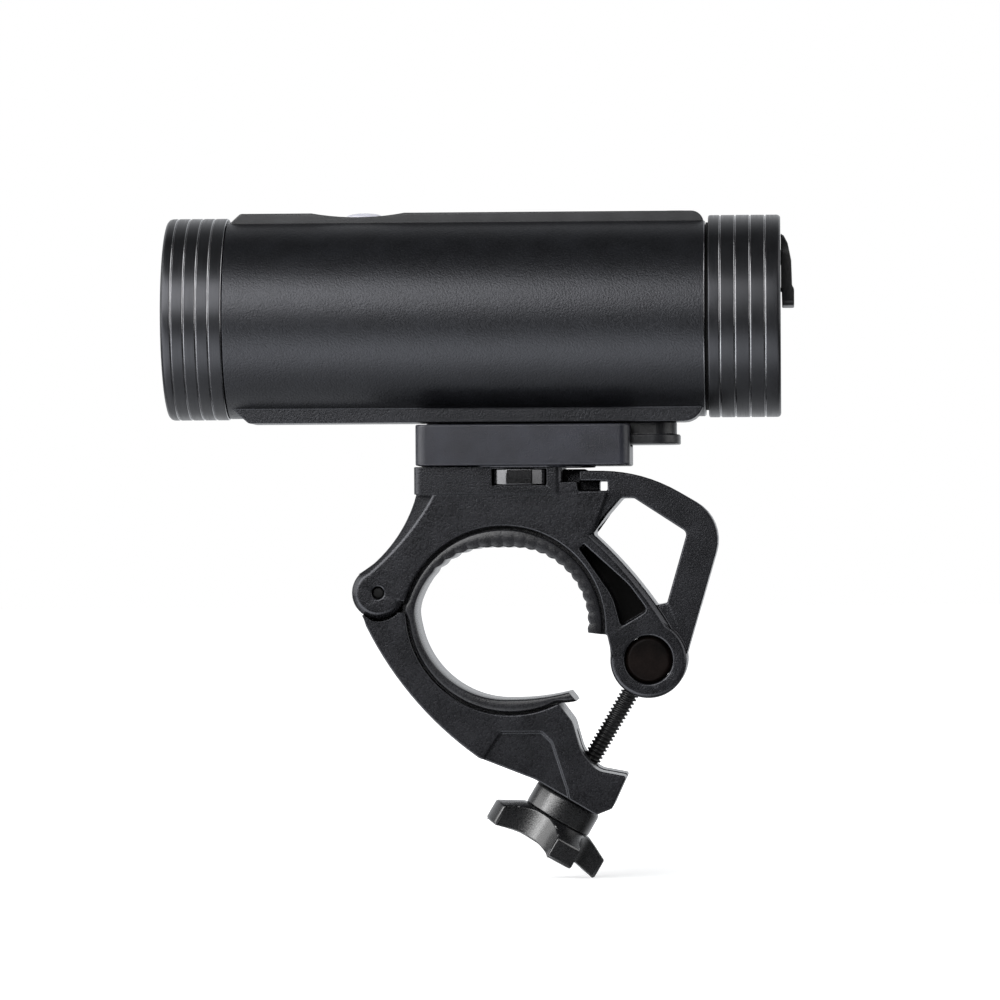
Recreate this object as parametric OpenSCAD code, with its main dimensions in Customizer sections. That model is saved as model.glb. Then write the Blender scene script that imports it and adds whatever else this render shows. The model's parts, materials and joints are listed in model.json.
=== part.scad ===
// Bicycle headlight on a handlebar clamp.
// The origin is on the handlebar's axis. +X points to the rear, +Y along the handlebar and +Z up.
// The beam leaves towards -X.

/* [Light] */
// Outer diameter of the body tube
body_d = 33.6; // [30.2:0.2:37]
// Length of the body tube between the bezel and the tail cap
body_l = 80.2; // [76:0.2:95]
// Wall thickness of the body tube
body_wall = 2.8; // [2.5:0.1:3.1]
// Distance from the handlebar's axis back to the tube's rear end
body_behind = 32.5; // [26:0.5:40]
// How far the front bezel and the tail cap stand proud of the tube
ring_proud = 0.2; // [0.1:0.05:1]
// Length of the front bezel
bezel_l = 10.3; // [9:0.1:14]
// Length of the tail cap
cap_l = 12.1; // [10.8:0.1:16]
// Gap between the body tube and the tail cap
cap_gap = 0.5; // [0.3:0.1:1]
// Grooves turned round the bezel and the tail cap
groove_count = 4; // [1:1:4]
// Depth of the turned grooves
groove_t = 0.2; // [0.1:0.05:0.4]
// Width of the cover strip along the top
strip_w = 10.6; // [10.4:0.2:14]
// Height of the strip's top above the tube's top
strip_rise = 0.75; // [0.5:0.05:2]
// Width of the flat foot under the tube
foot_w = 14; // [12:0.5:18]
// Depth of the foot's flat face below the tube's underside
foot_drop = 0.9; // [0.6:0.05:3]

/* [Lamp and electronics] */
// Width of the bezel's lip in front of the lens
lip_w = 0.8; // [0.6:0.1:1.5]
// Thickness of the lens
lens_t = 2; // [1:0.1:3]
// Depth of the reflector
reflector_l = 11; // [8:0.5:12.5]
// Thickness of the lamp's circuit board
led_board_t = 1.6; // [1:0.1:2]
// Length of the battery cell
cell_l = 65; // [50:0.5:66]
// Thickness of the driver board
board_t = 1.6; // [1:0.1:1.8]

/* [Button and port] */
// Distance from the tube's front end to the button's centre
button_back = 22.8; // [20:0.1:40]
// Diameter of the power button
button_d = 6.4; // [5:0.1:8]
// Travel of the power button
button_travel = 0.6; // [0.3:0.1:0.8]
// Width of the port cover
cover_w = 12; // [11:0.5:14]
// Height of the port cover
cover_h = 12.2; // [11:0.2:14]
// Thickness of the port cover's plate
cover_t = 1.3; // [1:0.1:2]

/* [Rail and receiver] */
// Thickness of the rail's web, between the foot and the flange
web_t = 2.2; // [1.8:0.1:4]
// Width of the rail's web
web_w = 10; // [8:0.5:12]
// Thickness of the rail's flange
flange_t = 1.6; // [1.2:0.1:3]
// Width of the rail's flange
flange_w = 16; // [14:0.5:18]
// Length of the rail
rail_l = 42.7; // [38:0.1:46]
// Length of the receiver block
block_l = 35.8; // [32:0.1:38]
// Width of the receiver block
block_w = 24; // [22:0.5:28]
// Height of the receiver block above the clamp's flat top
block_h = 7; // [6.8:0.1:10]
// Diameter of the pivot screw
pivot_d = 4; // [3:0.1:4.4]
// Distance of the pivot screw behind the handlebar's axis
pivot_behind = 1.4; // [0:0.1:3]

/* [Handlebar clamp] */
// Diameter of the handlebar that the pads rest on
bar_d = 25.4; // [24:0.1:26]
// Width of the two jaws along the handlebar
jaw_w = 21; // [18.8:0.2:23.4]
// Distance that the pads' ends lie inside the jaws' faces
pad_inset = 0.7; // [0.4:0.1:1.2]
// Thickness of the upper pad, from the handlebar to the upper jaw's bore
upper_pad_t = 4.3; // [3.6:0.1:4.8]
// Thickness of the lower pad
lower_pad_t = 2.2; // [1.8:0.1:2.6]
// Height of the clamp's flat top above the handlebar's surface
base_rise = 13.5; // [12.8:0.1:15]
// Distance of the flat top's front edge ahead of the handlebar's surface
base_reach = 3.5; // [3:0.1:4]
// Thickness of the flat top at its front edge
base_t = 4.6; // [4:0.1:5.5]
// Distance of the hinge pin ahead of the handlebar's surface
pin_reach = 9.6; // [9.4:0.1:10.5]
// Height of the hinge pin above the handlebar's axis
pin_up = 5.25; // [4.5:0.05:6]
// Diameter of the hinge pin
pin_d = 2; // [1.5:0.1:3]
// Radius of the hinge ears
ear_r = 4.4; // [3.9:0.1:4.8]
// Width of the lower jaw's knuckle between the hinge ears
knuckle_w = 8; // [6:0.5:10]
// Width of the brace loop along the handlebar
loop_w = 19; // [14:0.5:19]

/* [Clamp screw] */
// Distance of the barrel nut behind the handlebar's surface
eye_reach = 10.1; // [9.8:0.1:11]
// Depth of the barrel nut below the handlebar's axis
eye_down = 6.1; // [5:0.1:7]
// Radius of the eyes round the barrel nut
eye_r = 6.4; // [5.8:0.1:6.8]
// Diameter of the barrel nut
barrel_d = 8; // [7:0.1:9]
// Lean of the clamp screw from upright
screw_lean = 30.4; // [28:0.1:32]
// Diameter of the clamp screw
screw_d = 3.2; // [3:0.1:4]
// How much further than the handlebar's diameter the lower jaw's underside lies from the barrel nut
grip_extra = 1.4; // [0.8:0.1:2.4]
// Diameter of the thrust collar
collar_d = 11.8; // [10:0.1:12.4]
// Length of the thrust collar
collar_l = 4; // [3:0.1:6]
// Radius over the knob's lobes
knob_r = 10.6; // [10:0.1:14]
// Thickness of the knob's lobes
lobe_t = 3.7; // [3:0.1:5]
// Lobes on the knob
lobe_count = 4; // [3:1:5]

/* [Hidden] */
$fn = 64;

// Places round the handlebar
bar_r = bar_d / 2;
base_up = bar_r + base_rise;
base_ahead = bar_r + base_reach;
pin_ahead = bar_r + pin_reach;
eye_behind = bar_r + eye_reach;
grip_l = bar_d + grip_extra;

// Clearances
seat = 0.1; // between pieces that are fixed to each other
run = 0.05; // between a shaft and its bore
slide = 0.15; // between the rail and its channel
free = 0.3; // between pieces that move past each other
cut = 1; // how far a cutting tool reaches past the face it cuts

// Heights of the stack between the handlebar and the light
block_z0 = base_up + run;
block_z1 = block_z0 + block_h;
channel_lip_t = 1.75; // of the block over the rail's flange
flange_z1 = block_z1 - channel_lip_t;
flange_z0 = flange_z1 - flange_t;
foot_z = flange_z1 + web_t;
axis_z = foot_z + body_d / 2 + foot_drop;

// Stations along the light
tube_x1 = body_behind;
tube_x0 = tube_x1 - body_l;
bezel_x0 = tube_x0 - bezel_l;
cap_x0 = tube_x1 + cap_gap;
cap_x1 = cap_x0 + cap_l;
spigot_l = 4.2;
bore_r = body_d / 2 - body_wall;
spigot_r = bore_r + 0.46 * body_wall;
seal_r = bore_r + 0.64 * body_wall;
ring_r = body_d / 2 + ring_proud;
lens_r = bore_r - lip_w;
lip_t = 1.6;
gasket_t = 0.4;
lens_x0 = bezel_x0 + lip_t + gasket_t;
lens_x1 = lens_x0 + lens_t;
lens_edge_r = bore_r - seat;
reflector_x1 = lens_x1 + seat + reflector_l;
board_x0 = reflector_x1 + seat;
board_x1 = board_x0 + led_board_t;
bulkhead_t = 2;

// Battery, holder and driver board
cell_d = 1.3 * bore_r;
holder_t = 1.2;
holder_r = cell_d / 2 + free + holder_t;
cell_z = axis_z - bore_r + holder_r + free;
holder_x0 = board_x1 + bulkhead_t + free;
cell_x0 = holder_x0 + holder_t + free;
cell_x1 = cell_x0 + cell_l;
board_z0 = cell_z + cell_d / 2 + 2 * free;
board_z1 = board_z0 + board_t;
board_w = 15;
port_w = 9;
port_h = 3.2;
port_l = 7.4;
cap_wall = 2.2;
port_z = board_z1 + port_h / 2;
port_x1 = cap_x1 - cap_wall + 0.6;

// Top strip and button
strip_t = strip_rise + 1.6;
strip_z1 = axis_z + body_d / 2 + strip_rise;
strip_z0 = strip_z1 - strip_t;
button_x = tube_x0 + button_back;
dish_l = 15.6;
dish_ahead = 0.8; // the dish's middle lies this much ahead of the button
dish_t = 0.7;
button_z1 = strip_z1 + 0.2;
button_flange_t = 0.7;
button_flange_r = button_d / 2 + 0.5;
button_z0 = strip_z0 - button_flange_t - seat;
button_stem_d = 3;
switch_w = 6;
switch_h = 4;
stem_z0 = board_z1 + switch_h - free;

// Receiver block and rail
block_x0 = free - base_ahead;
block_x1 = block_x0 + block_l;
stop_t = 1.2;
rail_x0 = block_x0 + stop_t + slide;
rail_x1 = rail_x0 + rail_l;
turntable_r = 12.4;
turntable_t = 0.15;
head_r = pivot_d / 2 + 1.5;
head_t = 1.8;
washer_t = 0.5;
head_z0 = block_z0 + 1.1 + washer_t;
skin_t = 0.4;
nut_af = 1.85 * pivot_d;
nut_r = nut_af / sqrt(3);
nut_t = 2.6;
nut_y0 = -0.5 - jaw_w / 2; // its outer end, a little proud of the jaw's face
nut_bevel = 1.2;
nut_z0 = base_up - skin_t - nut_t;

// Clamp
pad_w = jaw_w - 2 * pad_inset;
pin = [-pin_ahead, pin_up];
eye = [eye_behind, -eye_down];
upper_bore = [-1.4, -0.7];
upper_bore_r = bar_r + upper_pad_t;
lower_inner = [-0.9, 2.6];
lower_inner_r = bar_r + norm(lower_inner) - 0.15;
lower_bore = lower_inner + [0.7, -0.3];
lower_bore_r = lower_inner_r + lower_pad_t;
pad_swell = 0.3 * bar_r; // the upper pad's opening is this much longer towards the hinge
pad_split_z = 2.4; // height at which the two pads meet beside the hinge
pad_gap = 0.4; // between the two pads beside the hinge
pad_end_z = -1.7; // lower end of the upper pad
chamfer = 0.9;
base_lip = 0.15; // how far the flat top stands proud of the jaw's faces
flank_r = 23;
bevel_r = 45.5; // the bevel along the flank is a cone that has this radius at the jaw's faces
bevel_t = 3;
arm_r = 69.5;
arm_a = 28.6;
socket_r = ear_r + 0.4;
rim_t = 2.4; // half the web left between the arm's two pockets

// Clamp screw: distances n run along the screw from the eye, s square to it towards the rear
along = [-sin(screw_lean), -cos(screw_lean)];
across = [cos(screw_lean), -sin(screw_lean)];
fork_w = screw_d + 2 * free;
fork_s = -screw_d / 2 - 3;
collar_n = grip_l + free;
knob_n = collar_n + collar_l + run;
screw_n0 = -4.3;

function unit(v) = v / norm(v);
function lift(p) = [p[0], 0, p[1]];
function turned(p) = [-p[1], p[0]];
function heading(v) = atan2(v[1], v[0]);
function wrapped(a) = a > 180 ? a - 360 : a < -180 ? a + 360 : a;
function flat(p) = [p[0], p[1]];
function arc(c, r, a0, sweep, n = 8) =
  [for (i = [0:n]) c + r * [cos(a0 + sweep * i / n), sin(a0 + sweep * i / n)]];
// The points that round the corner q, between p and s, with the radius q[2]
function corner(p, q, s) =
  let (a = unit(flat(p) - flat(q)), b = unit(flat(s) - flat(q)))
  let (half = acos(a * b) / 2, c = flat(q) + unit(a + b) * q[2] / sin(half))
  let (from = heading(flat(q) + a * q[2] / tan(half) - c))
  let (to = heading(flat(q) + b * q[2] / tan(half) - c))
  arc(c, q[2], from, wrapped(to - from));
// A closed outline from corners [x, z, radius]
function rounded(c) = [
  for (i = [0:len(c) - 1])
    each c[i][2] == 0 ? [flat(c[i])] : corner(c[(i + len(c) - 1) % len(c)], c[i], c[(i + 1) % len(c)])
];
// The left-hand point at the distance r from p and q_r from q
function meeting(p, r, q, q_r) =
  let (d = norm(q - p), x = (d * d + r * r - q_r * q_r) / (2 * d))
  p + unit(q - p) * x + turned(unit(q - p)) * sqrt(r * r - x * x);
// The place at n along the screw and s across it
function at_screw(n, s) = eye + along * n + across * s;

// Children drawn in X and Z, made w thick along Y
module slab(w) {
  rotate([90, 0, 0])
    linear_extrude(height = w, center = true) children();
}

// A cylinder along Y with its rims chamfered
module drum(r, w, c) {
  rotate([90, 0, 0])
    rotate_extrude()
      polygon([[0, -w / 2], [r - c, -w / 2], [r, c - w / 2], [r, w / 2 - c], [r - c, w / 2], [0, w / 2]]);
}

// A waisted cutter along Y whose radius grows by c over the last c of each end
module waist(r, w, c) {
  rotate([90, 0, 0])
    rotate_extrude()
      polygon([[0, -w / 2], [r + c, -w / 2], [r, c - w / 2], [r, w / 2 - c], [r + c, w / 2], [0, w / 2]]);
}

// A profile of [distance along X, radius], turned round the light's axis
module turned_on_axis(profile) {
  translate([0, 0, axis_z])
    rotate([0, 90, 0])
      rotate_extrude()
        polygon([for (p = profile) [p[1], p[0]]]);
}

// A cylinder from x0 to x1 on the light's axis
module axis_rod(r, x0, x1) {
  translate([x0, 0, axis_z])
    rotate([0, 90, 0])
      cylinder(r = r, h = x1 - x0);
}

// Children stand on the clamp screw's axis, with +Z along it away from the barrel nut
module on_screw(n = 0) {
  translate(lift(eye + along * n))
    rotate([0, 180 + screw_lean, 0]) children();
}

// A box from one corner to the opposite one, centred on the plane Y = 0
module block_of(x0, x1, w, z0, z1) {
  translate([x0, -w / 2, z0])
    cube([x1 - x0, w, z1 - z0]);
}

// A plate from x0 to x1 with rounded upright corners
module round_plate(x0, x1, w, r, z0, z1) {
  translate([0, 0, z0])
    linear_extrude(height = z1 - z0)
      polygon(rounded([[x0, -w / 2, r], [x1, -w / 2, r], [x1, w / 2, r], [x0, w / 2, r]]));
}

// The outline of a ring turned with evenly spaced grooves, from its bore side round to its rear edge
function grooved(x0, x1, r, first, pitch, nose, heel) = concat(
  arc([x0 + nose, r - nose], nose, 180, -90, 3),
  [for (i = [0:groove_count - 1])
    each [
      [x0 + first + i * pitch - groove_t, r],
      [x0 + first + i * pitch, r - groove_t],
      [x0 + first + i * pitch + groove_t, r]
    ]],
  arc([x1 - heel, r - heel], heel, 90, -90, 3)
);

module body_tube() {
  foot_slope = 3.6;
  foot_t = body_wall + foot_drop;
  foot_x0 = tube_x0 + 0.3;
  foot_x1 = tube_x1 - 0.4;
  color("#1d1e22")
    difference() {
      union() {
        axis_rod(body_d / 2, tube_x0, tube_x1);
        axis_rod(spigot_r, tube_x0 - spigot_l, tube_x1 + spigot_l);
        // The flat foot, slanted at its front and rounded up at its rear
        slab(foot_w)
          polygon(rounded([
            [foot_x0, foot_z + 0.8 * foot_slope, 0], [tube_x0 + foot_slope, foot_z, 0],
            [foot_x1, foot_z, 0.9 * foot_slope], [foot_x1, foot_z + foot_t, 0], [foot_x0, foot_z + foot_t, 0]
          ]));
      }
      // The bore, with a bulkhead left behind the lamp's board
      axis_rod(bore_r, tube_x0 - spigot_l - cut, board_x1);
      axis_rod(bore_r, board_x1 + bulkhead_t, tube_x1 + spigot_l + cut);
      axis_rod(bore_r / 3, board_x1 - cut, board_x1 + bulkhead_t + cut);
      // The flat seat of the top strip, with the button's well
      block_of(tube_x0 - cut, tube_x1 + cut, strip_w + 2 * seat, strip_z0 - seat, strip_z1 + cut);
      translate([button_x, 0, axis_z])
        cylinder(r = button_flange_r + free, h = body_d);
      // The tapped holes of the rail's screws
      for (x = rail_screw_x)
        translate([x, 0, foot_z - cut])
          cylinder(d = rail_screw_d, h = rail_screw_bite + cut + seat);
    }
}

module front_bezel() {
  color("#222327")
    turned_on_axis(concat(
      [[bezel_x0, lens_r]],
      grooved(bezel_x0, tube_x0 - seat, ring_r, 1.8, 2.07, 0.9, 0.25),
      [[tube_x0 - seat, spigot_r + seat], [lens_x0 - gasket_t, spigot_r + seat],
       [lens_x0 - gasket_t, lens_r - 0.2]]
    ));
}

module front_seal() {
  color("#101012")
    turned_on_axis([
      [lens_x0, lens_edge_r + seat], [lens_x0, spigot_r],
      [tube_x0 - spigot_l - seat, spigot_r], [tube_x0 - spigot_l - seat, lens_edge_r + seat]
    ]);
}

module lens() {
  dome = 0.5;
  color("#dfe8ee", 0.4)
    turned_on_axis(concat(
      [[lens_x1, 0], [lens_x1, lens_edge_r], [lens_x0, lens_edge_r], [lens_x0, lens_r]],
      [for (i = [1:6]) [lens_x0 - dome * (1 - pow(1 - i / 6, 2)), lens_r * (1 - i / 6)]]
    ));
}

module lens_gasket() {
  color("#0d0d0e")
    turned_on_axis([
      [lens_x0 - gasket_t + run, lens_r + run], [lens_x0 - gasket_t + run, lens_edge_r],
      [lens_x0 - run, lens_edge_r], [lens_x0 - run, lens_r + run]
    ]);
}

module reflector() {
  wall = 0.8;
  throat_r = 3.6;
  mouth_r = lens_r - wall;
  x0 = lens_x1 + seat;
  steps = 8;
  // A parabola from the throat at the lamp to the mouth at the lens
  function bowl(i) = throat_r + (mouth_r - throat_r) * sqrt(i / steps);
  color("#c9ccd1")
    turned_on_axis(concat(
      [for (i = [0:steps]) [reflector_x1 - reflector_l * i / steps, bowl(i)]],
      [[x0, bore_r - seat], [x0 + wall, bore_r - seat]],
      [for (i = [steps - 1:-1:0]) [reflector_x1 - reflector_l * i / steps, bowl(i) + wall]]
    ));
}

module led_board() {
  color("#e6e6e2")
    axis_rod(bore_r - seat, board_x0, board_x1 - run);
}

module led_emitter() {
  chip_w = 4;
  chip_t = 0.7;
  dome_r = 1.6;
  color("#e8c94a")
    union() {
      translate([board_x0 - chip_t, -chip_w / 2, axis_z - chip_w / 2])
        cube([chip_t - run, chip_w, chip_w]);
      translate([board_x0 - chip_t, 0, axis_z])
        intersection() {
          sphere(r = dome_r);
          translate([-dome_r, -dome_r, -dome_r])
            cube([dome_r, 2 * dome_r, 2 * dome_r]);
        }
    }
}

module battery_cell() {
  cap_h = 1.4;
  color("#2f6b8f")
    translate([0, 0, cell_z])
      rotate([0, 90, 0])
        union() {
          translate([0, 0, cell_x0 + cap_h])
            cylinder(d = cell_d, h = cell_l - cap_h);
          translate([0, 0, cell_x0])
            cylinder(d = cell_d / 3, h = cap_h);
        }
}

module battery_holder() {
  holder_x1 = cell_x1 + free + holder_t;
  color("#3a3b3f")
    difference() {
      union() {
        translate([holder_x0, 0, cell_z])
          rotate([0, 90, 0])
            cylinder(r = holder_r, h = holder_x1 - holder_x0);
        block_of(holder_x0, holder_x1, 2 * holder_r, cell_z, board_z0 - seat);
      }
      translate([holder_x0 + holder_t, 0, cell_z])
        rotate([0, 90, 0])
          cylinder(r = holder_r - holder_t, h = cell_l + 2 * free);
      block_of(holder_x0 + holder_t, holder_x1 - holder_t, 2 * (holder_r - holder_t), cell_z, board_z0 + cut);
      block_of(holder_x0 - cut, holder_x1 + cut, 2 * (holder_r + cut), board_z0 - seat,
        cell_z + 2 * holder_r);
    }
}

module driver_board() {
  color("#1f5a38")
    block_of(holder_x0, port_x1 - 1, board_w, board_z0, board_z1 - run);
}

module tact_switch() {
  color("#2a2a2d")
    difference() {
      translate([button_x - switch_w / 2, -switch_w / 2, board_z1])
        cube([switch_w, switch_w, switch_h]);
      // The well that the button's stem presses into
      translate([button_x, 0, stem_z0 - button_travel - free])
        cylinder(d = button_stem_d + 2 * free, h = switch_h);
    }
}

module usb_socket() {
  wall = 0.4;
  color("#b9bcc2")
    difference() {
      translate([port_x1 - port_l, 0, port_z])
        rotate([90, 0, 90])
          linear_extrude(height = port_l)
            polygon(rounded([for (k = [[-1, -1], [1, -1], [1, 1], [-1, 1]])
              [k[0] * port_w / 2, k[1] * port_h / 2, port_h / 2 - 0.2]]));
      translate([port_x1 - port_l + wall, 0, port_z])
        rotate([90, 0, 90])
          linear_extrude(height = port_l)
            polygon(rounded([for (k = [[-1, -1], [1, -1], [1, 1], [-1, 1]])
              [k[0] * (port_w / 2 - wall), k[1] * (port_h / 2 - wall), port_h / 2 - 2 * wall]]));
    }
}

module tail_cap() {
  heel = 0.6;
  color("#202125")
    difference() {
      turned_on_axis(concat(
        [[cap_x1 - cap_wall, 0], [cap_x1 - cap_wall, bore_r], [cap_x0 + spigot_l, bore_r],
         [cap_x0 + spigot_l, spigot_r + seat], [cap_x0, spigot_r + seat]],
        grooved(cap_x0, cap_x1, ring_r, 2, 2.5, 0.3, heel),
        [[cap_x1, 0]]
      ));
      // The charging port's slot through the rear wall
      translate([cap_x1 - cap_wall - cut, 0, port_z])
        rotate([90, 0, 90])
          linear_extrude(height = cap_wall + 2 * cut)
            polygon(rounded([for (k = [[-1, -1], [1, -1], [1, 1], [-1, 1]])
              [k[0] * (port_w / 2 + seat), k[1] * (port_h / 2 + seat), port_h / 2 - 0.1]]));
    }
}

module tail_seal() {
  color("#0d0d0e")
    turned_on_axis([
      [tube_x1 + run, spigot_r + run], [tube_x1 + run, seal_r],
      [cap_x0 - run, seal_r], [cap_x0 - run, spigot_r + run]
    ]);
}

// The rubber cover of the charging port, hung from its top edge
cover_rise = 3.9; // height of the cover's top above the port
cover_z1 = port_z + cover_rise;
cover_x0 = cap_x1 + run;
module port_cover() {
  tab_h = 2.8;
  tab_t = 1.7 * cover_t;
  round_r = 0.32 * cover_w;
  z0 = cover_z1 - cover_h;
  plug_l = 0.9;
  color("#121214")
    union() {
      intersection() {
        slab(cover_w)
          polygon([
            [cover_x0, cover_z1], [cover_x0 + 0.4 * cover_t, cover_z1 - 0.03 * cover_h],
            [cover_x0 + 0.9 * cover_t, cover_z1 - 0.14 * cover_h],
            [cover_x0 + 1.35 * cover_t, cover_z1 - 0.38 * cover_h],
            [cover_x0 + 1.45 * cover_t, z0 + tab_h + 0.05 * cover_h], [cover_x0 + tab_t, z0 + tab_h],
            [cover_x0 + tab_t, z0], [cover_x0 + 0.15 * cover_t, z0], [cover_x0 + 0.1 * cover_t, z0 + tab_h],
            [cover_x0, z0 + tab_h]
          ]);
        translate([cap_x1 - cut, 0, 0])
          rotate([90, 0, 90])
            linear_extrude(height = tab_t + 2 * cut)
              polygon(rounded([
                [-cover_w / 2, z0, 1], [cover_w / 2, z0, 1],
                [cover_w / 2, cover_z1, round_r], [-cover_w / 2, cover_z1, round_r]
              ]));
      }
      // The plug that sits in the port's slot
      block_of(cap_x1 - plug_l, cover_x0 + cover_t / 2, port_w - 3 * free, port_z - port_h / 2 + 2 * free,
        port_z + port_h / 2 - 2 * free);
    }
}

module top_strip() {
  scoop_r = (dish_l * dish_l / 4 + dish_t * dish_t) / (2 * dish_t);
  nose = 1.8;
  pip_t = 0.15;
  strip_x0 = tube_x0 + 0.4;
  strip_x1 = tube_x1 - 0.2;
  color("#26272b")
    difference() {
      union() {
        slab(strip_w)
          polygon(rounded([
            [strip_x0, strip_z0, 0], [strip_x0, strip_z1 - 0.7 * strip_t, 0],
            [strip_x0 + nose, strip_z1, nose / 2], [strip_x1, strip_z1, 0.9 * strip_t],
            [strip_x1, strip_z0, 0]
          ]));
        // A low raised pip near the rear end
        round_plate(tube_x1 - 7, tube_x1 - 3, strip_w / 3, 1.2, strip_z0 + run, strip_z1 + pip_t);
      }
      translate([button_x - dish_ahead, 0, strip_z1 - dish_t + scoop_r])
        rotate([90, 0, 0])
          cylinder(r = scoop_r, h = strip_w + 2 * cut, center = true, $fn = 256);
      translate([button_x, 0, strip_z0 - cut])
        cylinder(d = button_d + 2 * seat, h = body_d);
    }
}

module power_button() {
  crown = 0.7;
  crown_r = (button_d * button_d / 4 + crown * crown) / (2 * crown);
  color("#e9e6f2")
    union() {
      intersection() {
        translate([button_x, 0, button_z0])
          cylinder(d = button_d, h = button_z1 - button_z0);
        translate([button_x, 0, button_z1 - crown_r])
          sphere(r = crown_r, $fn = 256);
      }
      translate([button_x, 0, button_z0])
        cylinder(r = button_flange_r, h = button_flange_t);
      translate([button_x, 0, stem_z0])
        cylinder(d = button_stem_d, h = button_z0 - stem_z0);
    }
}

// Two countersunk screws hold the rail to the foot
rail_screw_d = 3;
rail_screw_bite = 2.6;
rail_screw_head_d = 5.6;
rail_screw_x = [rail_x0 + rail_l * 0.3, rail_x0 + rail_l * 0.7];

module rail() {
  color("#1a1b1e")
    difference() {
      union() {
        round_plate(rail_x0, rail_x1 - 0.6, web_w, 3.6, flange_z1 - cut, foot_z - run);
        round_plate(rail_x0, rail_x1, flange_w, 4.5, flange_z0, flange_z1);
      }
      for (x = rail_screw_x)
        translate([x, 0, 0]) {
          translate([0, 0, flange_z0 - cut])
            cylinder(d = rail_screw_d + 2 * seat, h = flange_t + web_t + 2 * cut);
          translate([0, 0, flange_z0 - run])
            cylinder(d1 = rail_screw_head_d + 2 * seat, d2 = rail_screw_d + 2 * seat, h = 1.4);
        }
    }
}

module rail_screws() {
  color("#8d9096")
    for (x = rail_screw_x)
      translate([x, 0, flange_z0 + run])
        union() {
          cylinder(d1 = rail_screw_head_d, d2 = rail_screw_d, h = 1.4);
          cylinder(d = rail_screw_d - 2 * run, h = flange_t + web_t + rail_screw_bite - run);
        }
}

module receiver_block() {
  color("#26282d")
    difference() {
      union() {
        round_plate(block_x0, block_x1, block_w, 1.8, block_z0 + turntable_t, block_z1);
        intersection() {
          translate([pivot_behind, 0, block_z0])
            cylinder(r = turntable_r, h = block_h / 2);
          block_of(block_x0, block_x1, block_w - cut, block_z0, block_z1);
        }
      }
      // The channel of the rail, closed at its front end
      block_of(block_x0 + stop_t, block_x1 + cut, flange_w + 2 * slide, flange_z0 - slide, flange_z1 + slide);
      block_of(block_x0 + stop_t, block_x1 + cut, web_w + 2 * slide, flange_z0, block_z1 + cut);
      translate([pivot_behind, 0, block_z0 - cut])
        cylinder(d = pivot_d + 2 * seat, h = block_h);
      translate([pivot_behind, 0, head_z0 - washer_t])
        cylinder(r = head_r + 2 * free, h = block_h);
    }
}

module pivot_screw() {
  color("#9a9da3")
    difference() {
      translate([pivot_behind, 0, 0])
        union() {
          translate([0, 0, head_z0 + run])
            cylinder(r = head_r, h = head_t);
          translate([0, 0, nut_z0 - 0.8])
            cylinder(d = pivot_d, h = head_z0 + 2 * run - nut_z0 + 0.8);
        }
      translate([pivot_behind, 0, head_z0 + run + head_t / 2])
        cylinder(d = pivot_d * 0.72, h = head_t, $fn = 6);
    }
}

module pivot_washer() {
  color("#a9acb2")
    translate([pivot_behind, 0, head_z0 - washer_t + run])
      difference() {
        cylinder(r = head_r + free, h = washer_t - run);
        translate([0, 0, -cut])
          cylinder(d = pivot_d + 2 * seat, h = washer_t + 2 * cut);
      }
}

// The nut slides in from the side: half a hexagon inside, and a bevelled end in the window
module pivot_nut() {
  color("#2c2d31")
    translate([pivot_behind, 0, nut_z0])
      difference() {
        linear_extrude(height = nut_t - run)
          polygon([
            [-nut_r / 2, nut_y0], [nut_r / 2, nut_y0], [nut_r, nut_y0 + nut_bevel], [nut_r, 0],
            [nut_r / 2, nut_af / 2], [-nut_r / 2, nut_af / 2], [-nut_r, 0], [-nut_r, nut_y0 + nut_bevel]
          ]);
        translate([0, 0, -cut])
          cylinder(d = pivot_d + 2 * run, h = nut_t + 2 * cut);
      }
}

// Outlines of the upper jaw in X and Z
base_z0 = base_up - base_t;
flank = meeting(pin, flank_r + ear_r - 0.15, [0.25 - base_ahead, base_z0], flank_r);
bevel = flank + [-14.4, 16.2];
arm = eye - [cos(arm_a), sin(arm_a)] * (arm_r - eye_r + 0.5);
crotch = [eye_behind - 8.9, base_up - 10.5];
tongue_x0 = eye_behind - 11.7;
tip_x = tongue_x0 + free;
tongue_x1 = eye_behind - 6.7;
tongue_z1 = base_up - 0.6;
slot_z1 = base_up - 2.45;
slot_z0 = base_up - 4.1;
ledge_x0 = eye_behind - 14.2;
ledge_z = slot_z1 - 0.2;
catch_x1 = tongue_x1 - 1.5;
catch_z1 = base_up - 0.4;
catch_w = 6;

// The crown over the handlebar with the front arm, before its bore and flank are cut
module crown_shape() {
  polygon([
    [-base_ahead, base_z0 + 0.5], pin + unit(flank - pin) * ear_r, pin, pin + [ear_r, -1.5],
    [0, pin_up - 1.5], [0, 0], crotch, [tongue_x1, slot_z0 - 0.4], [tongue_x1, slot_z0], [tongue_x0, slot_z0],
    [tongue_x0, ledge_z], [ledge_x0 - 1, ledge_z], [ledge_x0 - 1, base_z0 + 0.5]
  ]);
}

// The catch behind the tongue, between the flat top and the slot's rear end
module catch_shape() {
  polygon([
    [ledge_x0 - 1, slot_z0 - 0.7], [catch_x1, slot_z0 - 0.7], [catch_x1, tongue_z1 - 0.9],
    [tongue_x0 + 1, catch_z1], [ledge_x0 - 1, catch_z1]
  ]);
}

// The rear arm between the bore and the barrel nut's eye
module arm_shape() {
  polygon([
    crotch - [3, 0], crotch + [2, 1], eye + [eye_r + 2, 3], eye, eye + [-3.2, -5], eye + [-5.8, -0.6],
    eye + [-6.9, 4.2], [0, 0]
  ]);
}

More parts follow.
